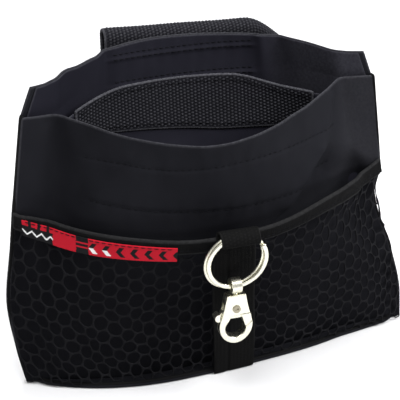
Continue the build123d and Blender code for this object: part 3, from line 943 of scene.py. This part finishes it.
def make_net():
    half = half_width(NET_LEVEL)
    x = np.linspace(-half, half, 401)
    line = pocket_wall.point(x, np.full_like(x, NET_LEVEL))
    along = distances(line)
    along -= along[len(x) // 2]
    share = x / half

    def on_wall(flat):
        """From flat net distances to share of the half width and height, held inside the pocket."""
        s = np.clip(np.interp(flat[..., 0], along, share), -0.995, 0.995)
        top = pocket_edge(s * half_width(80.0, s)) - 2.5
        return s, np.minimum(np.maximum(flat[..., 1], NET_FOOT), top)

    middles, corners = net_cells()
    inside = (np.abs(middles[:, 0]) < along[-1] + 0.5) & (middles[:, 1] > 1.5)
    s, _ = on_wall(middles)
    inside &= middles[:, 1] < pocket_edge(s * half_width(80.0, s)) - 2.0
    middles, corners = middles[inside], corners[inside]
    points, index, faces = [], {}, []

    def vertex(flat):
        key = (round(float(flat[0]), 1), round(float(flat[1]), 1))
        if key not in index:
            index[key] = len(points)
            points.append(flat)
        return index[key]

    for middle, ring in zip(middles, corners):
        ring = np.clip(ring, (along[0], NET_FOOT), (along[-1], 200.0))
        outline, hole = [], []
        for k in range(6):
            here, following = ring[k], ring[(k + 1) % 6]
            half = (here + following) / 2
            for place, inset in ((here, NET_KNOT), (half, NET_STRAND)):
                inward = middle - place
                reach = np.linalg.norm(inward)
                outline.append(vertex(place))
                hole.append(len(points))
                points.append(place + inward * min(inset / max(reach, 0.01), 0.8))
        for k in range(12):
            following = (k + 1) % 12
            if outline[k] != outline[following]:
                faces.append((outline[k], outline[following], hole[following], hole[k]))
    flat = np.array(points)
    s, height = on_wall(flat)
    place = swollen(pocket_wall.point(s * half_width(height, s), height), s)
    waves = np.array([noise.noise(Vector((p[0] / 17, p[2] / 17, 2.2))) for p in place])
    place[:, 1] -= 1.1 * waves
    pull = np.array([[noise.noise(Vector((p[0] / 9, p[2] / 9, at))) for at in (8.2, 15.7)] for p in place])
    loose = np.clip((height - 2) / 6, 0, 1) * np.clip((1 - np.abs(s)) / 0.05, 0, 1)
    place[:, 0] += NET_UNEVEN * pull[:, 0] * loose
    place[:, 2] += NET_UNEVEN * pull[:, 1] * loose
    cloth = np.concatenate([flat, np.zeros((len(flat), 1))], axis=1)
    net = piece("pocket_net", place, faces, NET_SKIN, slot="net", stands_for=["mesh_pocket"], cloth=cloth)
    thick = net.modifiers.new("thickness", "SOLIDIFY")
    thick.thickness = NET * MM
    thick.offset = 0
    rounding = net.modifiers.new("rounding", "SUBSURF")
    rounding.levels = 1
    rounding.render_levels = 1
    return net


def make_pocket_edge():
    face = pocket_wall.grid(lambda x: pocket_edge(x) - POCKET_TAPE_DEPTH, pocket_edge,
                            421, 15, -0.998, 0.998)
    face = swollen(face, face[..., 0] / half_width(face[..., 2], face[..., 0]))
    face = lifted(face, NET / 2 + TAPE)
    face = lifted(face, ribbed(face))
    shell("pocket_edge_tape", face, NET + 2 * TAPE, TAPE_SKIN,
          slot="binding", stands_for=["pocket_binding"])
    stitches("pocket_edge_stitches", face, 4, "binding")


def label_colour(along, up):
    """The ribbon's generic pattern: a zigzag on black, a plain patch, bars, and chevrons."""
    if along < ZIGZAG_END:
        zigzag = abs((along * 0.95) % ZIGZAG_PITCH - ZIGZAG_PITCH / 2)
        if abs(up - 1.3 - 0.9 * zigzag) < 0.42:
            return WHITE
        return RED if up > 5.0 and along % ZIGZAG_PITCH < 2.9 else BLACK
    if along < PATCH_END:
        return RED
    if along < BARS_END:
        return RED if 2.5 < up < 3.2 or 4.3 < up < 5.0 else BLACK
    chevron = (along - BARS_END - 0.8 * abs(up - 3.2)) % CHEVRON_PITCH
    if 0.9 < up < 5.4 and chevron < 2.2:
        return WHITE if along < PALE_END and up < 3.2 else BLACK
    return RED


def make_label():
    face = pocket_wall.band(lambda x: pocket_edge(x) - LABEL_DROP - LABEL_HEIGHT,
                            lambda x: pocket_edge(x) - LABEL_DROP, *LABEL_SPAN, 241, 31)
    face = lifted(face, NET / 2 + TAPE + LABEL)
    label = shell("woven_label", face, LABEL, RIBBON, slot="label", stands_for=["pocket_label"])
    flat = np.array([d.vector for d in label.data.attributes["cloth"].data]) / MM
    start = flat[:, 0].min()
    yarn = label.data.attributes.new("yarn", "FLOAT_COLOR", "POINT")
    colours = [(*label_colour(a - start, u), 1) for a, u, _ in flat]
    yarn.data.foreach_set("color", np.array(colours).ravel())
    stitches("label_stitches", face, 28, "label")


make_net()
make_pocket_edge()
make_label()


# Bound seams and the base

def make_seam_tapes():
    profile = rounded_rectangle(*SEAM_TAPE)
    for name, side in (("side_seam_left", -1), ("side_seam_right", 1)):
        height = np.linspace(1.0, float(front_rim(side * 84)) + 0.5, 90)
        x = side * (half_width(height, side) + 0.1)
        y = averaged(np.interp(height, SEAM[:, 0], SEAM[:, 2]), 4) + foot_drift(x, height)
        path = np.stack([x, y, height], axis=1)
        across = np.tile([1.0, 0, 0], (len(path), 1))
        deep = np.tile([0, 1.0, 0], (len(path), 1))
        sweep(name + "_tape", path, (across, deep), profile, TAPE_SKIN, slot="binding", stands_for=[name])


def base_outline(count=150):
    """The base binding's outer line, as points round the base, front first."""
    tree = cad_tree("base_binding")
    half = node_points("base_binding")[:, 0].max() - 0.3
    xs = half * np.sin(np.linspace(-math.pi / 2, math.pi / 2, count))
    line = np.array([(x, met(tree, x, 0.8, side), 0.0) for side in (1, -1) for x in xs[::side][:-1]])
    for _ in range(BASE_EASING):
        line = (np.roll(line, 1, axis=0) + 2 * line + np.roll(line, -1, axis=0)) / 4
    share = line[:, 0] / half
    line[:, 0] *= half_width(0.0, share) / half
    front = np.clip((6 - line[:, 1]) / 12, 0, 1)
    line[:, 1] += foot_shift(line[:, 0]) * np.maximum(front, near_seam(share))
    return line


def make_base():
    line = base_outline()
    ahead = np.roll(line, -1, axis=0) - np.roll(line, 1, axis=0)
    ahead /= np.linalg.norm(ahead, axis=1, keepdims=True)
    outward = np.stack([ahead[:, 1], -ahead[:, 0], np.zeros(len(line))], axis=1)
    upward = np.tile([0, 0, 1.0], (len(line), 1))
    path = line - outward * BASE_TAPE[0] / 2 + np.array([0, 0, 1.3])
    sweep("base_edge_tape", path, (outward, upward), rounded_rectangle(*BASE_TAPE), TAPE_SKIN,
          closed=True, slot="binding", stands_for=["base_binding"])
    count = len(line) // 2
    front, back = line[: count + 1], np.concatenate([line[count:], line[:1]])[::-1]
    share = np.linspace(0, 1, 25)[:, None, None]
    face = front[None] * (1 - share) + back[None] * share
    face[..., 2] = BASE_HEIGHT
    face[..., 2] += rolling(face, (20, 20), 0.15, 5.0)
    shell("base_cloth", face[:, 2:-2], BASE_CLOTH, NYLON_SKIN, slot="nylon", stands_for=["base_panel"])


make_seam_tapes()
make_base()


# Centre strap and the fold that holds the ring

fold_joint = next(j for j in frame["joints"] if j["name"] == "ring_swing")
FOLD = np.array(fold_joint["pos_m"]) / MM


def strap_route():
    """The strap's outer face from the base up, over the fold, and down behind, as y and height."""
    tree = cad_tree("center_strap")
    rise = np.array([(met(tree, 0, height, 1), height) for height in np.arange(1.0, FOLD[2] - 6, 2.0)])
    rise[:, 0] = averaged(rise[:, 0], 3)
    radius = FOLD_INNER + STRAP_PLY
    turns = np.radians(np.arange(200, -50, -8))
    arc = np.stack([FOLD[1] + radius * np.cos(turns), FOLD[2] + radius * np.sin(turns)], axis=1)
    return rise, arc


def resampled(route, step):
    """A route's points a step apart, and their distances along it."""
    length = distances(route)
    at = np.linspace(0, length[-1], int(length[-1] / step) + 1)
    return np.stack([np.interp(at, length, route[:, k]) for k in range(route.shape[1])], axis=1), at


def rolling_line(length):
    """Soft unevenness along a ribbon."""
    return np.array([noise.noise(Vector((at / 22, 3.1, 0.7))) for at in length])


def ribbon(name, route, middle, half, ply, seam=None, slack=0.5, **how):
    """A webbing ribbon along a route of y and height, whose middle may drift sideways.
    seam is where a sewn line runs along it, and slack is how uneven it lies."""
    route, length = resampled(route, STRAP_STEP)
    x = np.linspace(-half, half, int(2 * half / 0.4) + 1)
    face = np.zeros((len(route), len(x), 3))
    face[..., 0] = x[None] + middle(length / length[-1])[:, None]
    face[..., 1] = route[:, 0:1] - slack * rolling_line(length)[:, None]
    face[..., 2] = route[:, 1:2]
    face[..., 1] += foot_drift(face[..., 0], face[..., 2])
    if seam is not None:
        face[..., 1] += 0.6 * np.exp(-(((x[None] - seam) / 0.5) ** 2))
    return webbing_shell(name, face, ply, skin=STRAP_SKIN, coarse=0.35, **how)


def make_strap():
    rise, arc = strap_route()
    ribbon("strap_webbing", rise, lambda share: STRAP_FOOT + (FOLD[0] - STRAP_FOOT) * share ** 2,
           STRAP_HALF, WEBBING, seam=STRAP_SEAM, stands_for=["center_strap"])
    ribbon("strap_fold", arc, lambda share: np.full_like(share, FOLD[0]), TAB_HALF, STRAP_PLY, slack=0.0)


make_strap()


# Belt loop

def make_belt_loop():
    box_low, box_high = (np.array(v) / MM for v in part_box("belt_loop"))
    tree = cad_tree("belt_loop")
    top = box_high[2]
    rear = [(met(tree, 0, height, -1), height) for height in np.arange(box_low[2] + 1, top - 6, 2.0)]
    y, height = box_high[1] - LOOP_RADIUS, top - LOOP_RADIUS
    turns = np.radians(np.arange(0, 181, 10))
    arc = [(y + LOOP_RADIUS * math.cos(t), height + LOOP_RADIUS * math.sin(t)) for t in turns]
    down = [
        (y - LOOP_RADIUS - LOOP_LEAN * share, height - LOOP_FRONT * share)
        for share in np.linspace(0.1, 1, 12)
    ]
    route, _ = resampled(np.array(rear + arc + down), 0.55)
    x = np.linspace(box_low[0], LOOP_TIP, 185)
    face = np.zeros((len(route), len(x), 3))
    face[..., 0] = x[None]
    face[..., 1] = route[:, 0:1]
    slope = LOOP_SLOPE * np.clip((x - box_low[0]) / (LOOP_BEND - box_low[0]), 0, 1)
    droop = LOOP_DROOP * (np.clip(x - LOOP_BEND, 0, None) / (LOOP_TIP - LOOP_BEND)) ** 1.6
    rise = np.clip((route[:, 1:2] - box_low[2]) / (top - box_low[2]), 0, 1)
    face[..., 2] = route[:, 1:2] - (slope + LOOP_SETTLE + droop)[None] * rise ** 2
    face = face[:, ::-1]
    face = lifted(face, rolling(face, (30, 26), 0.8, 6.6))
    webbing_shell("belt_loop_webbing", face, WEBBING, stands_for=["belt_loop"])


make_belt_loop()


# Sewn rows on the walls

def make_rows():
    for number, line in enumerate(channel):
        face = front_wall.row(line, -CHANNEL_HALF, CHANNEL_HALF, 241)
        stitches(f"front_stitches_{number}", lifted(face, front_relief(face)), 1, "nylon")
    for number, level in enumerate(LOOP_ROWS):
        for twin in (0, 1):
            face = back_wall.row(lambda x: np.full_like(x, level + twin * LOOP_TWIN), *LOOP_SPAN, 161)
            inner = lifted(face, -back_relief(face) + NYLON + FACING + LAYER_GAP)
            stitches(f"loop_stitches_{number}_{twin}", inner, 1, "nylon")
    half = DIVIDER_BAND_HALF - 1
    for number, line in enumerate((lambda x: divider_rim(x) - 2.2, lambda x: divider_band_foot(x) + 2.2)):
        face = divider_wall.row(line, -half, half, 241)
        band = lifted(face, divider_relief(face) + WEBBING + BAND_GAP)
        stitches(f"divider_stitches_{number}", band, 1, "webbing")


make_rows()


# Nickel fittings

def make_ring():
    """The split ring: one flat wire wound twice, whose rear coil sits a little to the left."""
    low, high = (np.array(v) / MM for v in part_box("split_ring"))
    centre = (low + high) / 2
    front = np.array([0, -math.cos(RING_TILT), -math.sin(RING_TILT)])
    right = np.array([1.0, 0, 0])
    upward = np.cross(right, -front)
    aside = COIL_AWAY[0] * right + COIL_AWAY[1] * upward
    turns = np.linspace(0, 4 * math.pi - RING_GAP, 260)[:, None]
    jog = 1 / (1 + np.exp(-(turns - 2 * math.pi + RING_GAP / 2) / RING_JOG))
    angle = RING_START + turns
    out = right * np.cos(angle) + upward * np.sin(angle)
    lateral = COIL_SHIFT * (1 - jog) * (1 - np.sin(angle)) / 2
    path = centre + out * (RING_OUTER - RING_RADIAL / 2) - aside * lateral
    path += front * RING_COIL * (jog - 0.5) * 1.02
    profile = rounded_rectangle(RING_RADIAL, RING_COIL * 0.94, 0.6)
    sweep("split_ring_coils", path, (out, np.tile(front, (len(path), 1))), profile, NICKEL,
          body="ring", slot="nickel", stands_for=["split_ring"])


make_ring()
for name in ("swivel_bail", "clasp_body", "lever_rivet", "clasp_lever", "lever_spring"):
    made = frame["nodes"][name]
    made.data.materials.clear()
    made.data.materials.append(DARK_NICKEL if name in ("lever_rivet", "lever_spring") else NICKEL)


# Studio: a pale floor, soft light from four sides, and the camera

def aimed(name, data, azimuth, elevation, distance):
    """A light or camera that looks at the target; its azimuth runs to the right from the front."""
    turn, rise = math.radians(azimuth), math.radians(elevation)
    away = Vector((math.sin(turn) * math.cos(rise), -math.cos(turn) * math.cos(rise), math.sin(rise)))
    made = linked(name, data)
    made.location = TARGET + away * distance
    made.rotation_mode = "QUATERNION"
    made.rotation_quaternion = away.to_track_quat("Z", "Y")
    return made


def make_studio():
    mesh = bpy.data.meshes.new("floor")
    corners = [(FLOOR_HALF * x, FLOOR_HALF * y, 0) for x, y in ((-1, -1), (1, -1), (1, 1), (-1, 1))]
    mesh.from_pydata(corners, [], [(0, 1, 2, 3)])
    material, _, shader = new_material("pale_floor")
    shader.inputs["Base Color"].default_value = FLOOR_COLOUR
    shader.inputs["Roughness"].default_value = 0.7
    mesh.materials.append(material)
    linked("floor", mesh)
    world = bpy.data.worlds.new("studio")
    world.use_nodes = True
    background = world.node_tree.nodes["Background"]
    background.inputs["Color"].default_value = (1, 1, 1, 1)
    background.inputs["Strength"].default_value = SKY_STRENGTH
    bpy.context.scene.world = world
    for name, (azimuth, elevation, distance, size, power) in LIGHTS.items():
        data = bpy.data.lights.new(name, "AREA")
        data.shape = "SQUARE"
        data.size = size
        data.energy = power
        aimed(name, data, azimuth, elevation, distance)
    data = bpy.data.cameras.new("camera")
    data.lens = LENS
    data.sensor_width = 36.0
    bpy.context.scene.camera = aimed("camera", data, AZIMUTH, ELEVATION, DISTANCE)
    bpy.context.scene.view_settings.view_transform = "Standard"


make_studio()
